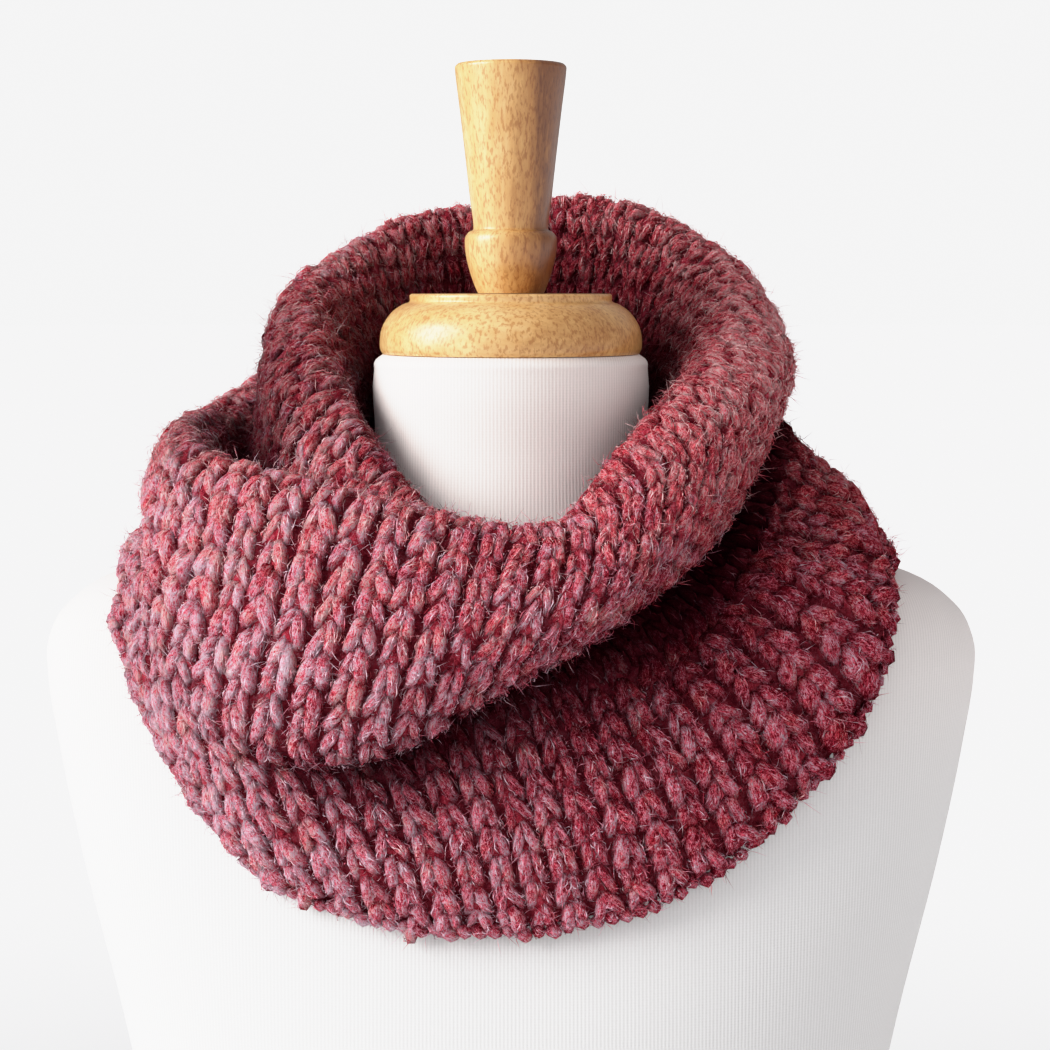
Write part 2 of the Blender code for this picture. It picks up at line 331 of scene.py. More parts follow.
# %% The form's surface
FORM_COLUMNS = 128
RINGS_PER_SECTION = 5
FORM_CREASE = 40                # degrees from which an edge is drawn sharp


def form_surface():
    """Return the form's rings [ring, column, xyz] from the foot up.

    A point is (w sgn(s) |s|^(2/k), -d sgn(c) |c|^(2/k), z), with s and c the sine and cosine round
    the ring.
    """
    rise = refine([section[0] * MM for section in FORM_SECTIONS[::-1]], RINGS_PER_SECTION)
    half_width, front, back, square = [value[:, None] for value in form_section(rise)]
    sine, cosine = np.sin(even_turn(FORM_COLUMNS)), np.cos(even_turn(FORM_COLUMNS))
    depth = np.where(cosine > 0, front, back)
    x = half_width * np.sign(sine) * np.abs(sine)**(2 / square)
    y = -depth * np.sign(cosine) * np.abs(cosine)**(2 / square)
    return np.stack(np.broadcast_arrays(x, y, NECK_TOP + rise[:, None]), axis=-1)


# %% [markdown]
# ## Jersey
# The cover is fine white jersey, pulled smooth. What shows is its wales: upright lines of tiny
# stitches a millimetre and a half apart. They follow the cloth, so they are drawn on a map whose
# units are metres of cloth, across from the centre front and up.

# %% The jersey's finish
WALE = 1.5 * MM
COURSE = 1.1 * MM
JERSEY_TONES = ((0.71, 0.695, 0.68, 1), (0.84, 0.83, 0.82, 1))
JERSEY_PATCH = (0.80, 0.78, 0.76, 1)
PAINTED_BOUNCE_CAST = (1.08, 0.98, 0.94, 1)      # warmer towards the neck: painted bounce light from the scarf's red, which is near
PAINTED_BOUNCE_RISES = (0.50, 0.66)      # z between which the painted bounce light comes in


def jersey_material():
    """Fine wales and courses in bump and in a trace of tone, over an off-white ground, with painted warm
    bounce light from the scarf towards the neck.
    """
    shader = Shader("jersey", Roughness=0.85, Sheen_Weight=0.15, Sheen_Roughness=0.5)
    cloth = shader.on_map("cloth")
    across, up, _ = shader.split(cloth)
    wales = shader.sine(across * (2 * math.pi / WALE))
    courses = shader.sine(up * (2 * math.pi / COURSE))
    stitch = wales * 0.6 + courses * 0.1 + shader.noise(cloth, 900.0) * 0.8
    colour = shader.mix(shader.remap(stitch, -0.9, 1.2), *JERSEY_TONES)
    patches = shader.remap(shader.noise(cloth, 14.0, 3.0), 0.35, 0.75, 0.0, 0.25)
    colour = shader.mix(patches, colour, JERSEY_PATCH)
    # painted bounce light: the jersey is tinted warmer towards the neck, as if lit by the scarf's red
    painted_bounce = shader.remap(shader.split(shader.place())[2], *PAINTED_BOUNCE_RISES)
    colour = shader.mix(painted_bounce, colour, shader.tint(colour, PAINTED_BOUNCE_CAST))
    shader.feed(Base_Color=colour, Normal=shader.bump(stitch, 0.12 * MM, 0.4))
    return shader.material


jersey = jersey_material()


# %% The form under its cover
def make_form():
    """Build the covered form as one closed skin with its cloth map."""
    rings = form_surface()
    rows, columns = rings.shape[:2]
    piece = make_loft("form_cover", rings, jersey, FORM_CREASE)
    across = running_sum(gaps(np.concatenate([rings, rings[:, :1]], axis=1), axis=1), axis=1)
    across -= across[:, columns // 2, None]
    up = running_sum(gaps(rings).mean(axis=1))
    row, column = np.meshgrid(np.arange(rows - 1), np.arange(columns), indexing="ij")
    corners = [(row, column), (row, column + 1), (row + 1, column + 1), (row + 1, column)]
    places = np.stack([np.stack([across[r, c], up[r]], axis=-1) for r, c in corners], axis=2)
    ends = np.concatenate([rings[0, ::-1, :2], rings[-1, :, :2]])
    add_map(piece, "cloth", np.concatenate([places.reshape(-1, 2), ends]))
    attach(piece, "root")
    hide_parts("torso")
    girth = round(float(np.ptp(across, axis=1).max()), 3)
    print("form:", len(piece.data.polygons), "faces, largest girth", girth, "m")


make_form()

# %% [markdown]
# ## Turned wood
# The cap and the handle come off a lathe, so each is one profile turned round the Z axis. Their
# wood is pale, with fine flecks along the grain: upright in the handle, sideways in the cap, which
# is cut from a board. A thin satin varnish lies on both.

# %% Profiles from the lathe
SEAT_GAP = 0.3 * MM
TURNED_SIDES = 96
STEPS_PER_POINT = 5
WOOD_CREASE = 35                # degrees from which an edge is drawn sharp

# (radius, height over the piece's seat) in mm, from the bottom up
CAP_PROFILE = ((54.6, 0.0), (55.5, 1.9), (55.6, 6.7), (54.6, 11.2), (52.4, 15.2), (49.4, 18.5),
               (45.6, 20.9), (43.4, 21.7), (42.9, 22.3), (42.9, 24.5), (42.2, 25.2))
HANDLE_PROFILE = ((14.0, 0.0), (15.6, 3.7), (17.6, 9.7), (19.0, 15.7), (19.5, 20.7), (19.2, 23.7),
                  (17.6, 25.8), (16.0, 26.6), (15.8, 27.8), (17.3, 40.2), (19.3, 58.2), (21.4, 76.2),
                  (23.4, 92.7), (23.4, 94.5), (22.4, 95.6))


def make_turned(name, node, profile, seat, material):
    """Turn a profile: (r sin(a), -r cos(a), seat + h), with (r, h) on a smooth curve through it."""
    points = np.array(profile) * MM
    knots = running_sum(np.sqrt(gaps(points)))
    radius, height = cubic_through(knots, points, refine(knots, STEPS_PER_POINT)).T[:, :, None]
    rings = turned(radius, even_turn(TURNED_SIDES, 0), seat + height)
    piece = make_loft(name, rings, material, WOOD_CREASE)
    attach(piece, "root")
    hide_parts(node)
    print(name + ":", len(rings), "rings of", TURNED_SIDES, "points")


# %% The wood's finish
WOOD_TONES = ((0.0, (0.20, 0.065, 0.014)), (0.35, (0.48, 0.215, 0.060)), (0.6, (0.66, 0.36, 0.125)),
              (1.0, (0.84, 0.56, 0.26)))
FLECK_CAST = (0.60, 0.42, 0.26, 1)


def wood_material(name, along, flecks, half_width, right_shade):
    """Long soft bands with short dark flecks; the smallest of along is the way of the grain.

    It is painted paler at the left, towards the window, and darker at the right: painted light and
    painted shade. The last argument says how much darker.
    """
    shader = Shader(name, Coat_Weight=0.35, Coat_Roughness=0.28, Specular_IOR_Level=0.4)
    place = shader.place()
    grain = shader.stretched(place, along)
    bands = shader.noise(grain, 60.0, 4.0, 0.55)
    fine = shader.noise(grain, 420.0, 3.0, 0.6)
    fleck = shader.noise(shader.stretched(place, flecks), 1000.0, 2.0, 0.6)
    fleck = shader.remap(fleck, 0.48, 0.64)
    blotch = shader.noise(place, 26.0, 3.0)
    # painted light and shade: paler at the left, towards the window, darker at the right
    side = shader.remap(shader.split(place)[0], -0.35 * half_width, half_width, 0.10, -right_shade)
    tone = shader.remap(bands, 0.3, 0.7) * 0.28 + fine * 0.5 + blotch * 0.4 + 0.07 + side
    colour = shader.ramp(WOOD_TONES, tone)
    colour = shader.mix(fleck * 0.7, colour, shader.tint(colour, FLECK_CAST))
    shader.feed(Base_Color=colour, Roughness=0.28 + fine * 0.14,
                Normal=shader.bump(fine - fleck, 0.05 * MM, 0.4))
    return shader.material


cap_seat = NECK_TOP + SEAT_GAP
handle_seat = cap_seat + CAP_PROFILE[-1][1] * MM + SEAT_GAP
board_wood = wood_material("board_wood", along=(0.45, 1.0, 1.0), flecks=(0.7, 1.0, 0.4),
                           half_width=55 * MM, right_shade=0.22)
handle_wood = wood_material("handle_wood", along=(1.2, 1.2, 0.16), flecks=(1.0, 1.0, 0.26),
                            half_width=19 * MM, right_shade=0.80)
make_turned("neck_cap_wood", "neck_cap", CAP_PROFILE, cap_seat, board_wood)
make_turned("handle_wood", "finial", HANDLE_PROFILE, handle_seat, handle_wood)

# %% [markdown]
# ## How the scarf lies
# Thirteen fold lines run round the tube, from the hidden top edge over the rims and the roll down
# to the hem. Each row of the table gives one line's radius and rise at sixteen azimuths. The ribs
# cross the lines, and lean a little in front, because the tube is twisted as it is put on.

# %% The fold lines
SECTION_AZIMUTHS = (-150, -120, -90, -77, -65, -45, -25, -5, 15, 35, 60, 76, 90, 120, 150, 180)

# name, share of the ribs' spread, greatest turns of the ribs in degrees about the two lean centres,
# share of the ribs' height, then radius and rise in mm by azimuth
FOLD_LINES = (
    ("top edge", 1, (0, 0), 0.3,
     (70, 70, 70, 70, 71, 74, 77, 78, 79, 74, 71, 70, 70, 70, 70, 70),
     (-36, -42, -50, -52, -55, -66, -78, -88, -88, -72, -56, -52, -50, -42, -36, -34)),
    ("inner wall", 1, (0, 0), 1.0,
     (80, 72, 66, 67, 68, 68, 74, 75, 76, 71, 67, 67, 67, 72, 80, 82),
     (12, -5, -20, -27, -35, -52, -66, -76, -75, -54, -34, -27, -20, -5, 15, 20)),
    ("inner rim", 1, (0, 0), 1.0,
     (95, 97, 84, 82, 80, 80, 83, 80, 80, 76, 77, 79, 83, 99, 95, 92),
     (55, 32, 10, -2, -15, -38, -58, -67, -66, -40, -16, -5, 4, 34, 60, 61)),
    ("rim flank", 1, (0, 0), 1.0,
     (105, 112, 101, 99, 96, 93, 92, 86, 86, 83, 86, 91, 97, 113, 106, 101),
     (56, 26, -2, -14, -28, -50, -60, -65.5, -63.5, -37, -13, -2, 7, 38, 65, 66)),
    ("pocket", 1, (0, 0), 0.4,
     (115, 122, 112, 110, 107, 102, 99, 92, 92, 90, 94, 100, 108, 122, 115, 108),
     (46, -18, -48, -52, -54, -58, -60.5, -65, -64, -39, -15, -5, 3, 32, 61, 62)),
    ("outer rim", 1, (0, 0), 1.0,
     (125, 140, 138, 137, 135, 126, 110, 101, 101, 99, 103, 109, 115, 127, 121, 114),
     (32, -18, -31, -35, -40, -47, -57, -68, -69, -46, -24, -13, -4, 20, 46, 47)),
    ("bulge", 0, (-5, 0), 1.0,
     (132, 151, 151, 153, 154, 151, 142, 128, 121, 112, 109, 112, 118, 129, 125, 120),
     (5, -42, -53, -57, -66, -92, -104, -98, -90, -67, -43, -25, -11, 0, 10, 10)),
    ("under roll", -0.4, (-12, 0), 0.5,
     (134, 151, 148, 150, 157, 154, 137, 120, 111, 106, 102, 105, 113, 126, 124, 118),
     (-30, -60, -64, -69, -84, -132, -146, -126, -106, -86, -64, -42, -24, -22, -28, -30)),
    ("crease", -0.4, (-13, 0), 0.1,
     (129, 147, 147, 151, 160, 150, 121, 103, 99, 98, 95, 99, 110, 121, 116, 110),
     (-58, -72, -69, -74, -95, -148, -151, -129, -113, -94, -71, -49, -30, -36, -50, -55)),
    ("stand", -0.3, (-12, 2), 0.6,
     (130, 149, 152, 156, 163, 149, 122, 109, 109, 112, 111, 112, 117, 125, 119, 113),
     (-78, -80, -72, -79, -103, -156, -160, -139, -124, -107, -76, -54, -35, -50, -72, -77)),
    ("second crease", -0.2, (-12, 6), 0.8,
     (125, 150, 154, 159, 165, 149, 125, 111, 109, 111, 113, 115, 123, 130, 117, 111),
     (-96, -90, -74, -84, -112, -167, -175, -160, -148, -127, -87, -61, -42, -64, -94, -100)),
    ("skirt", -0.1, (-12, 11), 1.0,
     (121, 151, 156, 161, 164, 147, 127, 116, 116, 123, 136, 143, 147, 142, 119, 112),
     (-118, -101, -77, -87, -124, -180, -194, -188, -180, -160, -113, -77, -62, -86, -118, -124)),
    ("hem", 0, (-12, 15), 1.0,
     (112, 146, 160, 164, 162, 139, 120, 113, 115, 127, 152, 162, 159, 146, 113, 107),
     (-143, -117, -83, -93, -138, -199, -217, -221, -217, -203, -152, -92, -83, -117, -143, -152)),
)

# %% The cloth's face on a fine grid
RIB_COUNT = 68
RIB_SPREAD = (0.12, 0.06)       # at the rims, ribs stand further apart in front than at the sides
LEAN_CENTRES = (-50, 30)        # azimuths where the ribs turn most, to the left and to the right
COLUMNS_PER_RIB = 6
ROWS_PER_FOLD = 8
WALL = 4.5 * MM
RIB_HEIGHT = 3.0 * MM
FORM_GAP = 1.5 * MM
PUSH_ROUNDS = 6
SLOPE_STEP = 0.5 * MM
NO_LENGTH = 1e-12               # keeps unit() from dividing by 0


def fold_points(columns):
    """Return the fold lines' points [line, column, xyz]: (r sin(a), -r cos(a), rise).

    With c the column's even azimuth, a = c + spread (0.12 sin(c) + 0.06 sin(2c)) + the turns' sum,
    each turn times (1 + cos(c - its centre)) / 2.
    """
    stations = np.radians(SECTION_AZIMUTHS)
    knots = np.concatenate([stations - 2 * math.pi, stations, stations + 2 * math.pi])
    bunching = RIB_SPREAD[0] * np.sin(columns) + RIB_SPREAD[1] * np.sin(2 * columns)
    leans = (1 + np.cos(columns[:, None] - np.radians(LEAN_CENTRES))) / 2
    lines = []
    for _, spread, turns, _, radii, rises in FOLD_LINES:
        azimuth = columns + spread * bunching + leans @ np.radians(turns)
        section = np.tile(np.array([radii, rises], dtype=float).T * MM, (3, 1))
        radius, rise = cubic_through(knots, section, azimuth).T
        lines.append(turned(radius, azimuth, NECK_TOP + rise))
    return np.array(lines)


def unit(vectors):
    """Return vectors of length one."""
    return vectors / np.maximum(np.linalg.norm(vectors, axis=-1, keepdims=True), NO_LENGTH)


def push_off_form(points, gap):
    """Return how far each point has to move to stand at least gap off the form, along its normal."""
    moved = points.copy()
    for _ in range(PUSH_ROUNDS):
        azimuth = np.arctan2(moved[..., 0], -moved[..., 1])
        rise = moved[..., 2] - NECK_TOP
        above, below = (form_radius(azimuth, rise + step) for step in (SLOPE_STEP, -SLOPE_STEP))
        slope = (above - below) / (2 * SLOPE_STEP)
        length = np.sqrt(1 + slope**2)
        reach = np.hypot(moved[..., 0], moved[..., 1]) - form_radius(azimuth, rise)
        short = np.maximum(gap - reach / length, 0) / length
        moved += short[..., None] * turned(1, azimuth, -slope)
    return moved - points


def cloth_face():
    """Return the cloth's outer face [row, column, xyz], its normals and the ribs' height by row."""
    lines = fold_points(even_turn(COLUMNS_PER_RIB * RIB_COUNT))
    knots = running_sum(np.sqrt(gaps(lines).mean(axis=1)))
    face = cubic_through(knots, lines, refine(knots, ROWS_PER_FOLD))
    share = refine([line[3] for line in FOLD_LINES], ROWS_PER_FOLD)
    around = np.roll(face, -1, axis=1) - np.roll(face, 1, axis=1)
    normals = unit(np.cross(np.gradient(face, axis=0), around))
    crest = face + RIB_HEIGHT * share[:, None, None] * normals
    inner, outer = (push_off_form(side, FORM_GAP) for side in (face - WALL * normals, crest))
    inner_moves_more = np.linalg.norm(inner, axis=-1) > np.linalg.norm(outer, axis=-1)
    return face + np.where(inner_moves_more[..., None], inner, outer), normals, share


face, face_normals, rib_share = cloth_face()
print("cloth:", face.shape[0], "rows of", face.shape[1], "points")

# %% How open the cloth lies
# Share of light that reaches each fold line, from the top edge to the hem: at the left shoulder,
# where only the pocket is closed, and round the rest, where only the crease is
OPENNESS = ((0.1, 0.15, 0.6, 0.45, 0.0, 0.65, 1.0, 1.0, 0.9, 1.0, 1.0, 1.0, 1.0),
            (0.1, 0.15, 0.72, 1.0, 1.0, 1.0, 1.0, 0.8, 0.05, 0.22, 0.64, 1.0, 1.0))
# Azimuths between which the left shoulder's row fades in and out again, above the roll's middle
# and below it
LEFT_SIDE = ((-125, -100, -60, -45), (-140, -115, -40, -16))
ROLL_MIDDLE = 6                 # number of the fold line there, the bulge


def light_share():
    """Return 0 (deep in a fold) to 1 (open) for the face's points [row, column]."""
    rows, columns = face.shape[:2]
    left, rest = (refine(line, ROWS_PER_FOLD)[:, None] for line in OPENNESS)
    azimuth = np.degrees(even_turn(columns))
    above, below = (np.interp(azimuth, stops, (1, 0, 0, 1)) for stops in LEFT_SIDE)
    is_above = np.arange(rows)[:, None] < ROWS_PER_FOLD * ROLL_MIDDLE
    return left + (rest - left) * np.where(is_above, above, below)


openness = light_share()

# %% [markdown]
# ## Ribs by length
# Knitting is even along the yarn, so stitches are spaced by distance along each rib, not by table
# row. We walk down the middle of every rib in equal steps and keep its direction, its normal, the
# distance to its neighbours and its share of height. Everything knitted is placed from these.

# %% Walking down the ribs
RIB_STEPS = 512


def rib_walk():
    """Return each rib's frame in equal steps [rib, step, 12] and its length.

    The twelve are the middle of the rib (3), the unit tangent (3), the unit normal (3), the rib's
    width, its share of height and its openness.
    """
    middle = COLUMNS_PER_RIB // 2
    path = face[:, middle::COLUMNS_PER_RIB].transpose(1, 0, 2)
    up = face_normals[:, middle::COLUMNS_PER_RIB].transpose(1, 0, 2)
    gutters = face[:, ::COLUMNS_PER_RIB].transpose(1, 0, 2)
    along = unit(np.gradient(path, axis=1))
    apart = np.roll(gutters, -1, axis=0) - gutters
    apart -= (apart * along).sum(axis=-1, keepdims=True) * along
    pitch = np.linalg.norm(apart, axis=-1)
    lengths = running_sum(gaps(path, axis=1), axis=1)
    share = np.broadcast_to(rib_share, pitch.shape)
    light = openness[:, middle::COLUMNS_PER_RIB].T
    fields = np.concatenate([path, along, up, np.stack([pitch, share, light], axis=-1)], axis=-1)
    walked = np.empty((RIB_COUNT, RIB_STEPS, fields.shape[-1]))
    for rib, length in enumerate(lengths):
        even = np.linspace(0, 1, RIB_STEPS) * length[-1]
        walked[rib] = np.transpose([np.interp(even, length, field) for field in fields[rib].T])
    return walked, lengths[:, -1]


rib_fields, rib_lengths = rib_walk()


def on_rib(rib, distance):
    """Return point, along, across, up, width, share of height and openness at distances down ribs.

    Past a rib's end the point goes straight on.
    """
    place = np.clip(distance / rib_lengths[rib], 0, 1) * (RIB_STEPS - 1)
    before = np.clip(np.floor(place).astype(int), 0, RIB_STEPS - 2)
    part = (place - before)[..., None]
    found = rib_fields[rib, before] * (1 - part) + rib_fields[rib, before + 1] * part
    past = (distance - np.clip(distance, 0, rib_lengths[rib]))[..., None]
    along, up = unit(found[..., 3:6]), unit(found[..., 6:9])
    point = found[..., :3] + past * along
    return point, along, unit(np.cross(up, along)), up, *np.moveaxis(found[..., 9:], -1, 0)


shortest, longest = (round(float(length), 3) for length in (rib_lengths.min(), rib_lengths.max()))
print("ribs:", RIB_COUNT, "from", shortest, "to", longest, "m long")

# %% [markdown]
# ## Yarn as tubes
# A stitch shows as two legs of yarn, and a fibre is a thinner tube still. One function carries a ring of
# points along thousands of paths at once and closes both ends of each in a point. Each tube gets a map
# for its material, and a place of its own on a second map, named OFBake.


# %% Thousands of tubes at once
def tube_corners(rings, sides):
    """Return ring and side of each corner of a tube's quads, then of its end triangles.

    The two tips stand at rings -1 and rings, in the middle of a side.
    """
    ring, side = np.arange(rings - 1)[:, None, None], np.arange(sides)[:, None]
    quads = np.broadcast_arrays(ring + [0, 1, 1, 0], side + [0, 0, 1, 1])
    tip_rings = np.repeat([[-1, 0, 0], [rings, rings - 1, rings - 1]], sides, axis=0)
    tip_sides = np.concatenate([side + [0.5, 0, 1], side + [0.5, 1, 0]])
    return [[part.reshape(-1, 4) for part in quads], [tip_rings, tip_sides]]


def make_tubes(name, paths, radii, ups, sides, material, light, dye, under=0.0):
    """Carry a ring along each path [tube, step, xyz]; the first and last step are the pointed ends.

    A ring's point is path + radius (cos(t) across + sin(t) level), with t from straight down,
    across = along x up, and level = up made square to the path. light and dye are numbers
    [tube, step] for the material; light is less by the share under at the bottom of the ring.
    """
    tubes, steps = paths.shape[:2]
    rings = steps - 2
    along = unit(np.gradient(paths, axis=1))
    across = unit(np.cross(along, ups))
    level = np.cross(across, along)
    turn = np.arange(sides) * 2 * math.pi / sides - math.pi / 2
    cosine, sine = np.cos(turn)[:, None], np.sin(turn)[:, None]
    rim = cosine * across[:, 1:-1, None] + sine * level[:, 1:-1, None]
    body = paths[:, 1:-1, None] + radii[:, 1:-1, None, None] * rim
    points = np.concatenate([paths[:, :1], paths[:, -1:], body.reshape(tubes, -1, 3)], axis=1)

    tube = np.arange(tubes)[:, None]
    length = gaps(paths, axis=1).sum(axis=1)[:, None]
    cells = math.ceil(math.sqrt(tubes))
    cell = np.stack(np.divmod(tube, cells), axis=-1)
    faces, yarn, bake = [], [], []
    for ring, side in tube_corners(rings, sides):
        on_body = 2 + ring * sides + side % sides
        number = np.where(ring < 0, 0, np.where(ring == rings, 1, on_body)).astype(int)
        faces.append((tube[..., None] * points.shape[1] + number).reshape(-1, number.shape[1]))
        around, down = side.ravel() / sides, (ring.ravel() + 1) / (steps - 1)
        yarn.append(np.stack(np.broadcast_arrays(around, length * down + tube), axis=-1))
        bake.append((cell + 0.1 + 0.8 * np.stack([around, down], axis=-1)) / cells)
    piece = make_piece(name, points.reshape(-1, 3), faces, material)
    add_map(piece, "yarn", np.concatenate([places.reshape(-1, 2) for places in yarn]))
    add_map(piece, "OFBake", np.concatenate([places.reshape(-1, 2) for places in bake]))
    for label, value, less in (("light", light, under), ("dye", dye, 0)):
        body = (value[:, 1:-1, None] * (1 - less * (1 - np.sin(turn)) / 2)).reshape(tubes, -1)
        add_values(piece, label, np.concatenate([value[:, :1], value[:, -1:], body], axis=1))
    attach(piece, "root")
    return piece


# %% [markdown]
# ## Heathered yarn
# The yarn is brushed and heathered: plies of berry, rose and dark plum with pale pink flecks, so colour
# changes from fibre to fibre. Thin curly lines stand for the fibres, on each strand's own map and across
# the cloth, and slower patterns vary the dye from place to place. The scarf is painted paler at its left
# and on the standing collar and darker to the right, and yarn deep in the cloth is painted darker:
# painted light and painted shade.

# %% The yarn's finish
YARN_TONES = ((0.0, (0.17, 0.005, 0.012)), (0.25, (0.60, 0.036, 0.066)), (0.5, (0.94, 0.15, 0.21)),
              (0.75, (0.99, 0.36, 0.45)), (1.0, (1.0, 0.74, 0.80)))
# painted shade: the dark colour that yarn with little light goes over into
PAINTED_SHADE_TONE = (0.022, 0.001, 0.004, 1)
CASTS = ((1.0, 0.95, 1.02, 1), (1.10, 0.90, 0.82, 1))      # plum to coral
PLIES = 3
PLY_TURNS = 110.0               # turns of the plies in a metre of yarn
PAINTED_LIGHT_SIDES = (-0.13, 0.13)       # x between which painted light at the left goes over into painted shade at the right
COLLAR_SIDES = (0.0, 0.10)      # x, and z below, between which the standing collar's painted light and warmer hue come in
COLLAR_RISES = (0.60, 0.72)


def curls(shader, vector, scale, width):
    """Thin curly lines: they run where a smooth noise passes its middle value."""
    off_middle = shader.noise(vector, scale, 2.0, 0.6) - 0.5
    size = shader.node("Math", {"operation": "ABSOLUTE"}, {0: off_middle})
    return shader.remap(size, 0.0, width, 1.0, 0.0)


def yarn_material(name, streak, base, curl_gain, bump_depth):
    """Pale and dark curly fibres over a mottled strand, plus dye that drifts through the cloth.

    The scarf is painted palest at its left, towards the window, and paler again on the standing collar,
    which is also warmer: painted light. Towards its right, and where its light is low, it is painted
    darker: painted shade.
    """
    shader = Shader(name, Roughness=0.9, Specular_IOR_Level=0.0)
    place, yarn = shader.place(), shader.on_map("yarn")
    light, dye = shader.point_value("light"), shader.point_value("dye")
    strand = shader.stretched(yarn, streak)
    pale = (curls(shader, strand, 1.0, 0.05) + curls(shader, strand, 1.9, 0.05)
            + curls(shader, place, 620.0, 0.04))
    dark = curls(shader, strand, 1.4, 0.08) + curls(shader, place, 430.0, 0.05)
    around, down, _ = shader.split(yarn)
    turns = around * PLIES + down * PLY_TURNS + shader.noise(place, 200.0) * 0.8
    plies = shader.sine(turns * (2 * math.pi))
    mottle = shader.noise(place, 300.0, 3.0, 0.65)
    drift = shader.noise(place, 60.0, 2.0)
    right, _, high = shader.split(place)
    collar = shader.remap(high, *COLLAR_RISES) * shader.remap(right, *COLLAR_SIDES)
    # painted light and shade: paler at the left, towards the window, and on the collar, darker at the
    # right
    painted_light_tone = shader.remap(right, *PAINTED_LIGHT_SIDES, 0.22, -0.19) + collar * 0.30
    tone = base + painted_light_tone + (mottle - 0.5) * 1.2 + (drift - 0.5) * 0.5 + (dye - 0.5)
    tone = tone + (pale * 0.40 - dark * 0.30 + plies * 0.12) * curl_gain
    shadow = shader.remap(light, 0.0, 1.0, 1.0, 0.0)
    colour = shader.ramp(YARN_TONES, tone - shadow * 0.32)
    warm = shader.noise(place, 110.0, 2.0) + shader.remap(high, 0.55, 0.72, -0.12, 0.12) + collar * 0.32
    colour = shader.tint(colour, shader.mix(shader.remap(warm, 0.35, 0.65), *CASTS))
    # painted shade: towards the right, away from the window, the yarn goes further over into the dark
    # shade tone, except on the collar
    dim = shader.remap(right, 0.0, 0.16, 0.0, 0.20) * (1 - collar)
    colour = shader.mix(shadow * 0.94 + dim, colour, PAINTED_SHADE_TONE)
    relief = pale + mottle * 1.5 + plies * 0.5 - dark * 0.8
    shader.feed(Base_Color=colour, Normal=shader.bump(relief, bump_depth, 0.9))
    return shader.material


leg_yarn = yarn_material("leg_yarn", streak=(15.0, 240.0, 1.0), base=0.50, curl_gain=1.0,
                         bump_depth=0.5 * MM)
fibre_yarn = yarn_material("fibre_yarn", streak=(1.0, 420.0, 1.0), base=0.81, curl_gain=0.0,
                           bump_depth=0.05 * MM)


# %% The knitted ground
def ground_material():
    """Yarn at the bottom of the gutters and on the plain inner face, painted dark where it gets little
    light: painted shade.
    """
    shader = Shader("ground_yarn", Roughness=1.0, Specular_IOR_Level=0.05)
    place = shader.place()
    # painted shade: the ground's tone is set low, so that the gutters read as deep
    tone = shader.noise(place, 420.0, 3.0, 0.65) * 1.1 + shader.noise(place, 90.0) * 0.5 - 0.6
    tone = tone + curls(shader, place, 620.0, 0.04) * 0.35
    shadow = shader.remap(shader.point_value("light"), 0.0, 1.0, 0.94, 0.3)
    colour = shader.mix(shadow, shader.ramp(YARN_TONES, tone), PAINTED_SHADE_TONE)
    shader.feed(Base_Color=colour, Normal=shader.bump(tone, 1.0 * MM, 0.8))
    return shader.material


ground_yarn = ground_material()

# %% [markdown]
# ## The ground of the cloth
# Under the stitches lies the cloth itself: a closed wall whose outer face swells under each rib and has
# a small bar across each gutter, where a purl stitch crosses it. It takes the place of the scarf's
# solid, which is hidden.

# %% The closed wall
ROW_PITCH = 11.0 * MM           # from one stitch of a rib to the next
GROUND_SWELL = 0.6 * RIB_HEIGHT     # the legs on it make up the rest
GUTTER_DROP = 0.6 * MM
BAR_HEIGHT = 0.9 * MM
HEM_TUCK = 3.5 * MM
TUCK_SLOPE = 0.5                # how much less the tuck is for each mm from the hem
GUTTER_LIGHT, RIB_LIGHT = 0.3, 0.7      # shares of the light, between the ribs and on them
HIDDEN_ROW_STEP = 4             # the inner face keeps every fourth row


def make_ground():
    """Build the wall: out by the ribs' swell and the bars outside, in by WALL inside.

    It is closed at both edges. At the hem it draws back, so that the bound-off loops hide its end.
    """
    rows, columns = face.shape[:2]
    turn = np.arange(columns) * 2 * math.pi / COLUMNS_PER_RIB
    swell = (1 - np.cos(turn)) / 2
    walked = running_sum(gaps(face))
    to_hem = walked[-1] - walked
    bar = np.cos(math.pi * to_hem / ROW_PITCH)**2
    rise = rib_share[:, None] * (GROUND_SWELL * swell + BAR_HEIGHT * bar * (1 - swell))
    rise = rise - GUTTER_DROP * (1 - swell)
    tuck = np.maximum(HEM_TUCK - TUCK_SLOPE * to_hem, 0)[..., None]
    tucked = face - tuck * unit(face[-1] - face[-2])
    outer = tucked + rise[..., None] * face_normals
    inner = (tucked - WALL * face_normals)[::HIDDEN_ROW_STEP]
    start = rows * columns
    edge = np.arange(columns)
    after = (edge + 1) % columns
    last, inner_last = start - columns, start + (len(inner) - 1) * columns
    faces = [grid_faces(rows, columns)[:, ::-1], grid_faces(len(inner), columns, start),
             np.stack([edge, after, start + after, start + edge], axis=-1),
             np.stack([last + after, last + edge, inner_last + edge, inner_last + after], axis=-1)]
    points = np.concatenate([outer.reshape(-1, 3), inner.reshape(-1, 3)])
    piece = make_piece("cowl_ground", points, faces, ground_yarn)
    outer_light = (GUTTER_LIGHT + (RIB_LIGHT - GUTTER_LIGHT) * swell) * openness
    inner_light = GUTTER_LIGHT * openness[::HIDDEN_ROW_STEP]
    add_values(piece, "light", np.concatenate([outer_light.ravel(), inner_light.ravel()]))
    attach(piece, "root")
    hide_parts("cowl")
    print("ground:", len(piece.data.polygons), "faces")
    return piece


ground = make_ground()

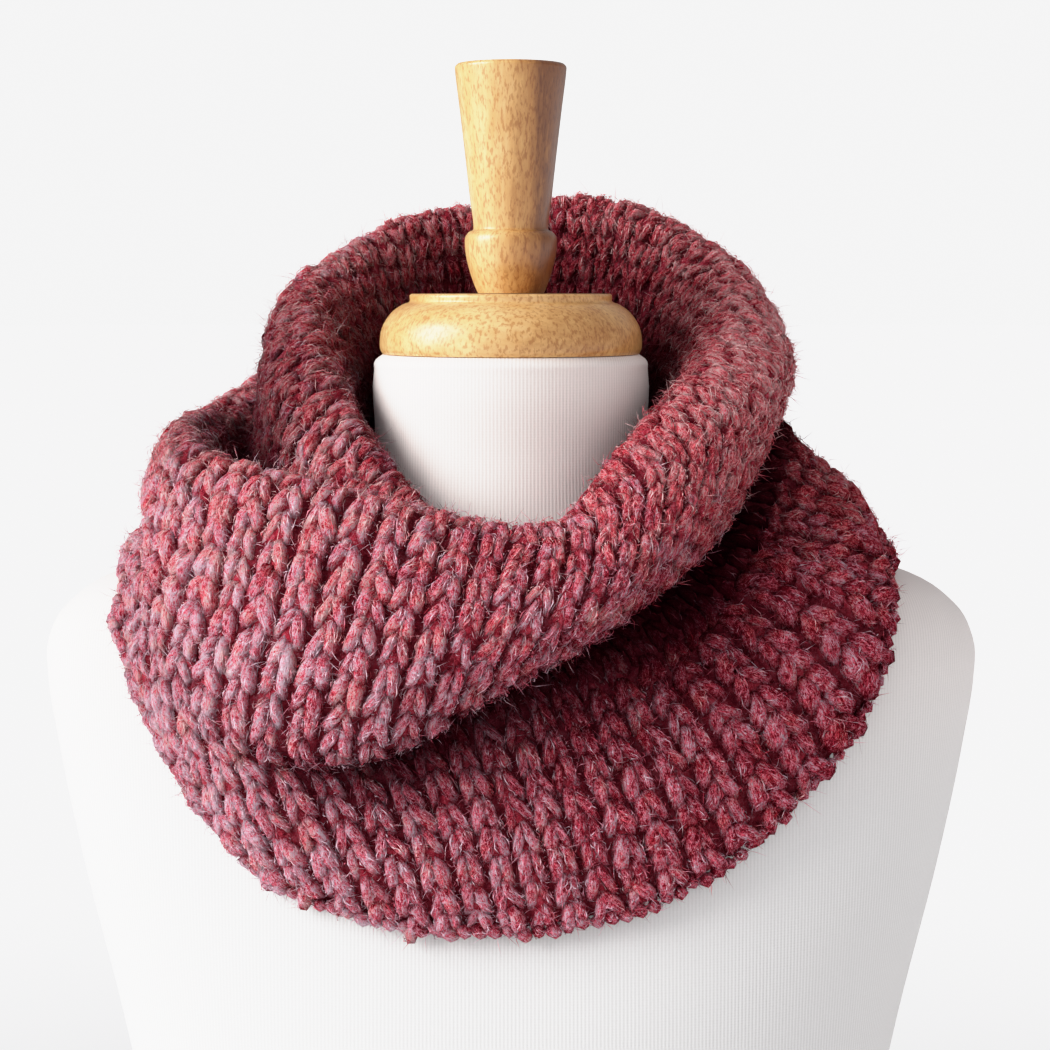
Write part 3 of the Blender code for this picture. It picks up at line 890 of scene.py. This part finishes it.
# %% [markdown]
# ## Stitches
# In a rib every stitch is an arrowhead of two fat legs of yarn. The scarf is worn with its
# last row up, so the arrowheads point up. Each leg comes out of the cloth at the tip, swells over
# the surface, spreads outwards and dives under the next tip.

# %% Where the stitches are
LEG_RADIUS = 2.85 * MM
USUAL_PITCH = 12 * MM
LEG_START = 0.12                # share of a row by which a leg starts before its tip
LEG_ROWS, LAST_LEG_ROWS = 1.38, 1.08    # rows that a leg reaches over, and in a rib's last row
LEG_ASIDE, LEG_SPREAD = 0.05, 0.30      # shares of a rib's width: aside at the tip, and more to the foot
LEG_ARCH, TIP_SINK, FOOT_SINK = 2.2 * MM, 0.5 * MM, 0.9 * MM
LEG_END_LIGHT = 0.35            # share of light where a leg dives
LEG_LUMP = 0.07                 # share by which its radius rises and falls along it

rng = np.random.default_rng(7)


def lay_stitches():
    """Return the rib, the distance of the tip down it, and the row height of every stitch."""
    counts = np.round(rib_lengths / ROW_PITCH).astype(int)
    rib = np.repeat(np.arange(RIB_COUNT), counts)
    row = np.concatenate([np.arange(count) for count in counts])
    height = (rib_lengths / counts)[rib]
    return rib, rib_lengths[rib] - (row + 1) * height, height


leg_rib, leg_tip, leg_height = (np.repeat(value, 2) for value in lay_stitches())
legs = len(leg_rib)
pairs = legs // 2
leg_side = np.tile([-1.0, 1.0], pairs)
in_last_row = leg_tip + 1.5 * leg_height > rib_lengths[leg_rib]
leg_rows = np.where(in_last_row, LAST_LEG_ROWS, LEG_ROWS)
leg_size = rng.normal(1.0, 0.14, legs).clip(0.7, 1.3)
leg_slip = rng.normal(0.0, 0.11, (legs, 2))
leg_lift = rng.normal(0.0, 0.35 * MM, legs)
leg_wave = rng.normal(0.0, 0.6 * MM, (legs, 2))
leg_lump = rng.uniform(0, 2 * math.pi, legs)
leg_dye = 0.5 + np.repeat(rng.normal(0, 0.05, pairs), 2) + rng.normal(0, 0.05, legs)


def arch(part):
    """Return 0 at the ends of a leg or a loop, and 1 in its middle."""
    return np.sin(math.pi * np.clip(part, 0, 1))


def on_leg(leg, part):
    """Return centre, across, up, radius and light of legs at parts t, 0 (tip) to 1 (foot).

    Down the rib: the tip + (1.38 t - 0.12) rows. Sideways: (0.05 + 0.30 t) widths of the rib, and a
    wave. Up: 2.2 sin(pi t) - 0.5 - 0.9 t mm, and a wave, so that both ends dive. The radius is
    largest in the middle, and lumpy. Where the ribs are flat, legs are lower and thinner.
    """
    leg = np.broadcast_to(leg, part.shape)
    down = leg_tip[leg] + leg_height[leg] * (leg_rows[leg] * part - LEG_START + leg_slip[leg, 0])
    centre, _, across, up, pitch, share, light = on_rib(leg_rib[leg], down)
    wave = np.sin(2 * math.pi * part)
    aside = leg_side[leg] * pitch * (LEG_ASIDE + LEG_SPREAD * part) * (1 + leg_slip[leg, 1])
    aside += leg_wave[leg, 0] * wave
    raised = (0.2 + 0.8 * share) * (LEG_ARCH * arch(part) - TIP_SINK - FOOT_SINK * part)
    raised += (leg_lift[leg] + leg_wave[leg, 1] * wave) * share
    centre = centre + aside[..., None] * across + raised[..., None] * up
    lumps = 1 + LEG_LUMP * np.sin(3 * math.pi * part + leg_lump[leg])
    size = (pitch / USUAL_PITCH)**0.8 * leg_size[leg] * (0.78 + 0.22 * share)
    radius = LEG_RADIUS * size * lumps * (0.66 + 0.34 * arch(part)**0.7)
    return centre, across, up, radius, (LEG_END_LIGHT + (1 - LEG_END_LIGHT) * arch(part)) * light


print("stitches:", pairs, "with", legs, "legs")

# %% The legs, sector by sector
SECTORS = 8
LEG_PARTS = np.array([0.0, 0.07, 0.28, 0.5, 0.72, 0.93, 1.0])
LEG_SIDES = 5
LEG_SHADE = 0.42                # how much less light a leg's underside gets than its top


def make_yarns(name, place_on, which, parts, dyes):
    """Build the legs or loops with the numbers in which, placed by place_on, as closed tubes."""
    part = np.broadcast_to(parts, (len(which), len(parts)))
    path, _, up, radius, light = place_on(which[:, None], part)
    dye = np.broadcast_to(dyes[which][:, None], part.shape)
    return make_tubes(name, path, radius, up, LEG_SIDES, leg_yarn, light, dye, LEG_SHADE)


sector_legs = [np.flatnonzero(leg_rib * SECTORS // RIB_COUNT == sector) for sector in range(SECTORS)]
stitches = [make_yarns(f"stitches_{number}", on_leg, leg, LEG_PARTS, leg_dye)
            for number, leg in enumerate(sector_legs, 1)]
print("legs:", sum(len(piece.data.polygons) for piece in stitches), "faces in", SECTORS, "pieces")

# %% [markdown]
# ## Strands and fuzz
# A brushed yarn is never smooth: loose strands wrap each leg, and finer fibres stand off it and
# blur the outline. Both are real tubes here, three-sided, because from a step away only their
# direction, colour and softness are read.

# %% Strands that hug the legs
STRANDS_PER_LEG = 22
FUZZ_PER_LEG = 13
FIBRE_SIDES = 3
FIBRE_STEPS = np.array([0.0, 0.5, 1.0])
# Least and most, in mm
STRAND_RADIUS = (0.11, 0.27)
FUZZ_RADIUS = (0.08, 0.15)
FUZZ_LENGTH = (1.6, 4.4)


def fibres_of(place_on, leg, most):
    """Repeat each leg once for each of its fibres: the most in the open, fewer deep in the folds."""
    light = place_on(leg, np.full(len(leg), 0.5))[-1]
    return np.repeat(leg, np.round(most * np.clip(light * 2.0, 0.15, 1)).astype(int))[:, None]


def strand_paths(place_on, leg, dyes):
    """Return paths, radii, ups, light and dye of strands: fibres that lie on a leg and bow off it.

    Between a random start and end on the leg, the angle round it and the part down it change
    evenly. place_on is on_leg, or the same for the loops of an edge.
    """
    leg = fibres_of(place_on, leg, STRANDS_PER_LEG)
    one_each = (len(leg), 1)
    # Part down the leg, angle round it and distance off its middle
    part = rng.uniform(0.0, 0.95, one_each) + rng.normal(0, 0.26, one_each) * FIBRE_STEPS
    centre, across, up, radius, light = place_on(leg, np.clip(part, -0.02, 1.02))
    angle = rng.uniform(-0.4, math.pi + 0.4, one_each) + rng.normal(0, 0.6, one_each) * FIBRE_STEPS
    bow = np.array([-0.1, 1.0, 0.3]) * rng.uniform(0.15, 1.0, one_each) * MM
    off = radius + bow + rng.normal(0, 0.15, part.shape) * MM
    out = np.cos(angle)[..., None] * across + np.sin(angle)[..., None] * up
    thick = rng.uniform(*STRAND_RADIUS, one_each) * MM * np.ones(len(FIBRE_STEPS))
    dye = 0.52 + (dyes[leg] - 0.5) * 0.6 + rng.normal(0, 0.32, one_each)
    light = (0.3 * light**0.5 + 0.7 * light) * (0.5 + 0.5 * np.clip(np.sin(angle), 0, 1))
    return centre + off[..., None] * out, thick, up, light, np.broadcast_to(dye, part.shape)


def fuzz_paths(place_on, leg, _):
    """Return the same of fuzz: fibres that leave a leg's upper side at a slant, and bend."""
    leg = fibres_of(place_on, leg, FUZZ_PER_LEG)
    one_each, way_each = (len(leg), 1), (len(leg), 3)
    part = rng.uniform(0.0, 1.0, one_each)
    centre, across, up, radius, light = (value[:, 0] for value in place_on(leg, part))
    angle = rng.uniform(-0.3, math.pi + 0.3, one_each)
    out = np.cos(angle) * across + np.sin(angle) * up
    heading = unit(rng.normal(0, 1, way_each))
    length = rng.uniform(*FUZZ_LENGTH, one_each)[..., None] * MM
    lift = rng.uniform(0.2, 0.8, one_each)[..., None]
    step = FIBRE_STEPS[:, None]
    bend = 0.7 * rng.normal(0, 1, way_each)[:, None] * step**2
    root = (centre + radius[:, None] * out)[:, None]
    rise = lift * out[:, None] * (step - 0.4 * step**2)
    path = root + length * (heading[:, None] * step + bend + rise)
    thick = rng.uniform(*FUZZ_RADIUS, one_each) * MM * np.ones(len(FIBRE_STEPS))
    dye = np.broadcast_to(rng.normal(0.56, 0.18, one_each), thick.shape)
    ups = np.broadcast_to(np.cross(heading, out)[:, None], path.shape)
    return path, thick, ups, np.broadcast_to(light[:, None], thick.shape), dye


def make_fibres(label, place_on, leg, dyes):
    """Build the strands and the fuzz of some legs or loops."""
    made = []
    for name, lay_paths in (("strands", strand_paths), ("fuzz", fuzz_paths)):
        path, thick, ups, light, dye = lay_paths(place_on, leg, dyes)
        made.append(make_tubes(f"{name}_{label}", path, thick, ups, FIBRE_SIDES, fibre_yarn, light, dye))
    return made


fibres = []
for number, leg in enumerate(sector_legs, 1):
    fibres += make_fibres(number, on_leg, leg, leg_dye)
print("fibres:", sum(len(piece.data.polygons) for piece in fibres), "faces")

# %% The bound-off edges
EDGE_LOOPS = 180
EDGE_PARTS = np.array([0.0, 0.08, 0.3, 0.55, 0.8, 0.95, 1.0])
EDGE_RADIUS = 2.9 * MM
EDGE_TURN = 3.0 * MM            # radius of the way that a loop takes over the edge
EDGE_DROP = 1.2 * MM            # how far under the cloth's face that way has its middle
EDGE_START, EDGE_SWEEP = 100, 125       # degrees
EDGE_END_LIGHT = 0.3

loop_shift = rng.uniform(-1.8, 0.6, EDGE_LOOPS) * MM
loop_slant = rng.normal(3.0, 1.0, EDGE_LOOPS) * MM
loop_size = rng.uniform(0.82, 1.22, EDGE_LOOPS)
loop_dye = rng.normal(0.5, 0.12, EDGE_LOOPS)


def edge_place(at_hem):
    """Return the counterpart of on_leg for one edge's loops, which are spaced evenly along it.

    A loop turns over the edge: 3 mm (cos(a) outward + sin(a) up) about a line inside it, with a
    from 100 to -25 degrees, while it slants along the edge.
    """
    distance = rib_lengths if at_hem else np.zeros(RIB_COUNT)
    point, along, _, up = on_rib(np.arange(RIB_COUNT), distance)[:4]
    outward = along if at_hem else -along
    apart = np.roll(point, -1, axis=0) - point
    reached = running_sum(np.linalg.norm(apart, axis=1))
    even = np.arange(EDGE_LOOPS) / EDGE_LOOPS * reached[-1]
    spot = np.interp(even, reached, np.arange(RIB_COUNT + 1))
    before = spot.astype(int)
    share, after = (spot - before)[:, None], (before + 1) % RIB_COUNT
    middle, out, over = (field[before] * (1 - share) + field[after] * share
                         for field in (point, outward, up))
    side = unit(apart)[before]
    middle = middle - EDGE_DROP * over + (loop_shift[:, None] - EDGE_TURN) * out

    def on_edge(loop, part):
        loop = np.broadcast_to(loop, part.shape)
        turn = np.radians(EDGE_START - EDGE_SWEEP * part)[..., None]
        centre = middle[loop] + EDGE_TURN * (np.cos(turn) * out[loop] + np.sin(turn) * over[loop])
        centre = centre + (loop_slant[loop] * (part - 0.5))[..., None] * side[loop]
        radius = EDGE_RADIUS * loop_size[loop] * (0.6 + 0.4 * arch(part))
        light = EDGE_END_LIGHT + (1 - EDGE_END_LIGHT) * arch(part)
        return centre, side[loop], over[loop], radius, light

    return on_edge


loops = np.arange(EDGE_LOOPS)
on_hem, on_top = edge_place(at_hem=True), edge_place(at_hem=False)
edges = [make_yarns("bound_off_hem", on_hem, loops, EDGE_PARTS, loop_dye),
         make_yarns("cast_on_top", on_top, loops, EDGE_PARTS, loop_dye),
         *make_fibres("hem", on_hem, loops, loop_dye)]
print("edges:", EDGE_LOOPS, "loops each, in", len(edges), "pieces with their fibres")

# %% [markdown]

# %% [markdown]
# ## Floor, light and camera
# The set is a pale floor, painted darker near the form as shade and given a painted glow, in a white
# room. Soft daylight comes from the left and a little from the front, and the room fills the shadows.
# The camera stands level with the collar and looks slightly down.

# %% The floor
FLOOR_RADIUS = 40.0
FLOOR_SIDES = 96
FLOOR_TONES = ((0.62, 0.62, 0.625, 1), (0.92, 0.92, 0.925, 1))      # near the form, painted darker as shade, and far off
PAINTED_FLOOR_GLOW = ((0.08, 0.08, 0.08, 1), (0.27, 0.27, 0.27, 1))         # its own light, the same
GLOW_REACH = (0.4, 1.9)         # metres between which near goes over into far


def make_floor():
    """Build a flat pale disc that brightens away from the form, to meet the wall without a line: painted
    shade near the form, and a painted glow all over.
    """
    shader = Shader("pale_floor", Roughness=0.8, Emission_Strength=1.0)
    away = shader.node("VectorMath", {"operation": "LENGTH"}, {0: shader.place()}, output=1)
    far = shader.remap(away, *GLOW_REACH)
    shader.feed(Base_Color=shader.mix(far, *FLOOR_TONES), Emission_Color=shader.mix(far, *PAINTED_FLOOR_GLOW))
    points = turned(FLOOR_RADIUS, even_turn(FLOOR_SIDES), 0)
    floor = make_piece("floor", points, [np.arange(FLOOR_SIDES)[None]], shader.material)


make_floor()

# %% Light
WINDOW_TURN = math.radians(-74)     # azimuth of the window, left of the camera
WINDOW_HEIGHT = math.radians(24)
WINDOW_WIDTH = math.radians(44)     # how wide it looks from the form
WINDOW_POWER = 4.85
WALL_SEEN = (1.15, 1.15, 1.155, 1)

# The way to each side of the room, the cosine from which its light grows, and its colour
ROOM_SIDES = (
    ((0, -1, 0), -0.2, (0.52, 0.53, 0.56, 1)), ((1, 0, 0), -0.2, (0.37, 0.335, 0.325, 1)),
    ((0, 0, 1), 0.1, (0.20, 0.20, 0.21, 1)), ((0, 1, 0), -0.2, (0.15, 0.15, 0.15, 1)),
)


def make_window():
    """A broad sun stands for the window."""
    window = bpy.data.lights.new("window", "SUN")
    window.energy = WINDOW_POWER
    window.angle = WINDOW_WIDTH
    lamp = bpy.data.objects.new("window", window)
    lamp.rotation_euler = (math.pi / 2 - WINDOW_HEIGHT, 0, WINDOW_TURN)
    bpy.context.scene.collection.objects.link(lamp)


def make_room():
    """Each side of the room adds its own soft light; the camera sees a plain wall."""
    world = bpy.data.worlds.new("room")
    bpy.context.scene.world = world
    world.use_nodes = True
    graph = Graph(world.node_tree)
    outwards = graph.node("TexCoord")       # its first output: in a world, the way that a ray goes
    room = (0.0, 0.0, 0.0, 1)
    for way, low, colour in ROOM_SIDES:
        cosine = graph.node("VectorMath", {"operation": "DOT_PRODUCT"}, {0: outwards, 1: way}, output=1)
        share = graph.node("MapRange", inputs={"Value": cosine, "From Min": low})
        room = graph.mix(share, room, colour, "ADD")
    by_camera = graph.node("LightPath")     # its first output: 1 for what the camera sees
    background = world.node_tree.nodes["Background"]
    graph.fill(background.inputs["Color"], graph.mix(by_camera, room, WALL_SEEN))


make_window()
make_room()

# %% Camera
VIEW_ANGLE = math.radians(26)
CAMERA_PLACE = (0.006, -0.97, 0.730)
CAMERA_TILT = math.radians(6.07)


def make_camera():
    """A camera 0.97 m in front of the neck, level with the collar and tilted 6 degrees down."""
    camera = bpy.data.cameras.new("camera")
    camera.lens = camera.sensor_width / 2 / math.tan(VIEW_ANGLE / 2)
    stand = bpy.data.objects.new("camera", camera)
    stand.location = CAMERA_PLACE
    stand.rotation_euler = (math.pi / 2 - CAMERA_TILT, 0, 0)
    bpy.context.scene.collection.objects.link(stand)
    bpy.context.scene.camera = stand


make_camera()

# %% Soft highlights
BRIGHTEST = 2                   # times white
# (share of BRIGHTEST, tone that shows)
SHOULDER = ((0.0, 0.0), (0.30, 0.60), (0.40, 0.775), (0.50, 0.875), (0.70, 0.935), (1.0, 0.965))


def soften_highlights():
    """Bend the brightest tones under white, as a camera's film curve does."""
    view = bpy.context.scene.view_settings
    view.view_transform = "Standard"
    view.use_curve_mapping = True
    curves = view.curve_mapping
    curves.white_level = (BRIGHTEST, BRIGHTEST, BRIGHTEST)
    points = curves.curves[3].points
    while len(points) < len(SHOULDER):
        points.new(0.5, 0.5)
    for point, place in zip(points, SHOULDER):
        point.location = place
    curves.update()


soften_highlights()
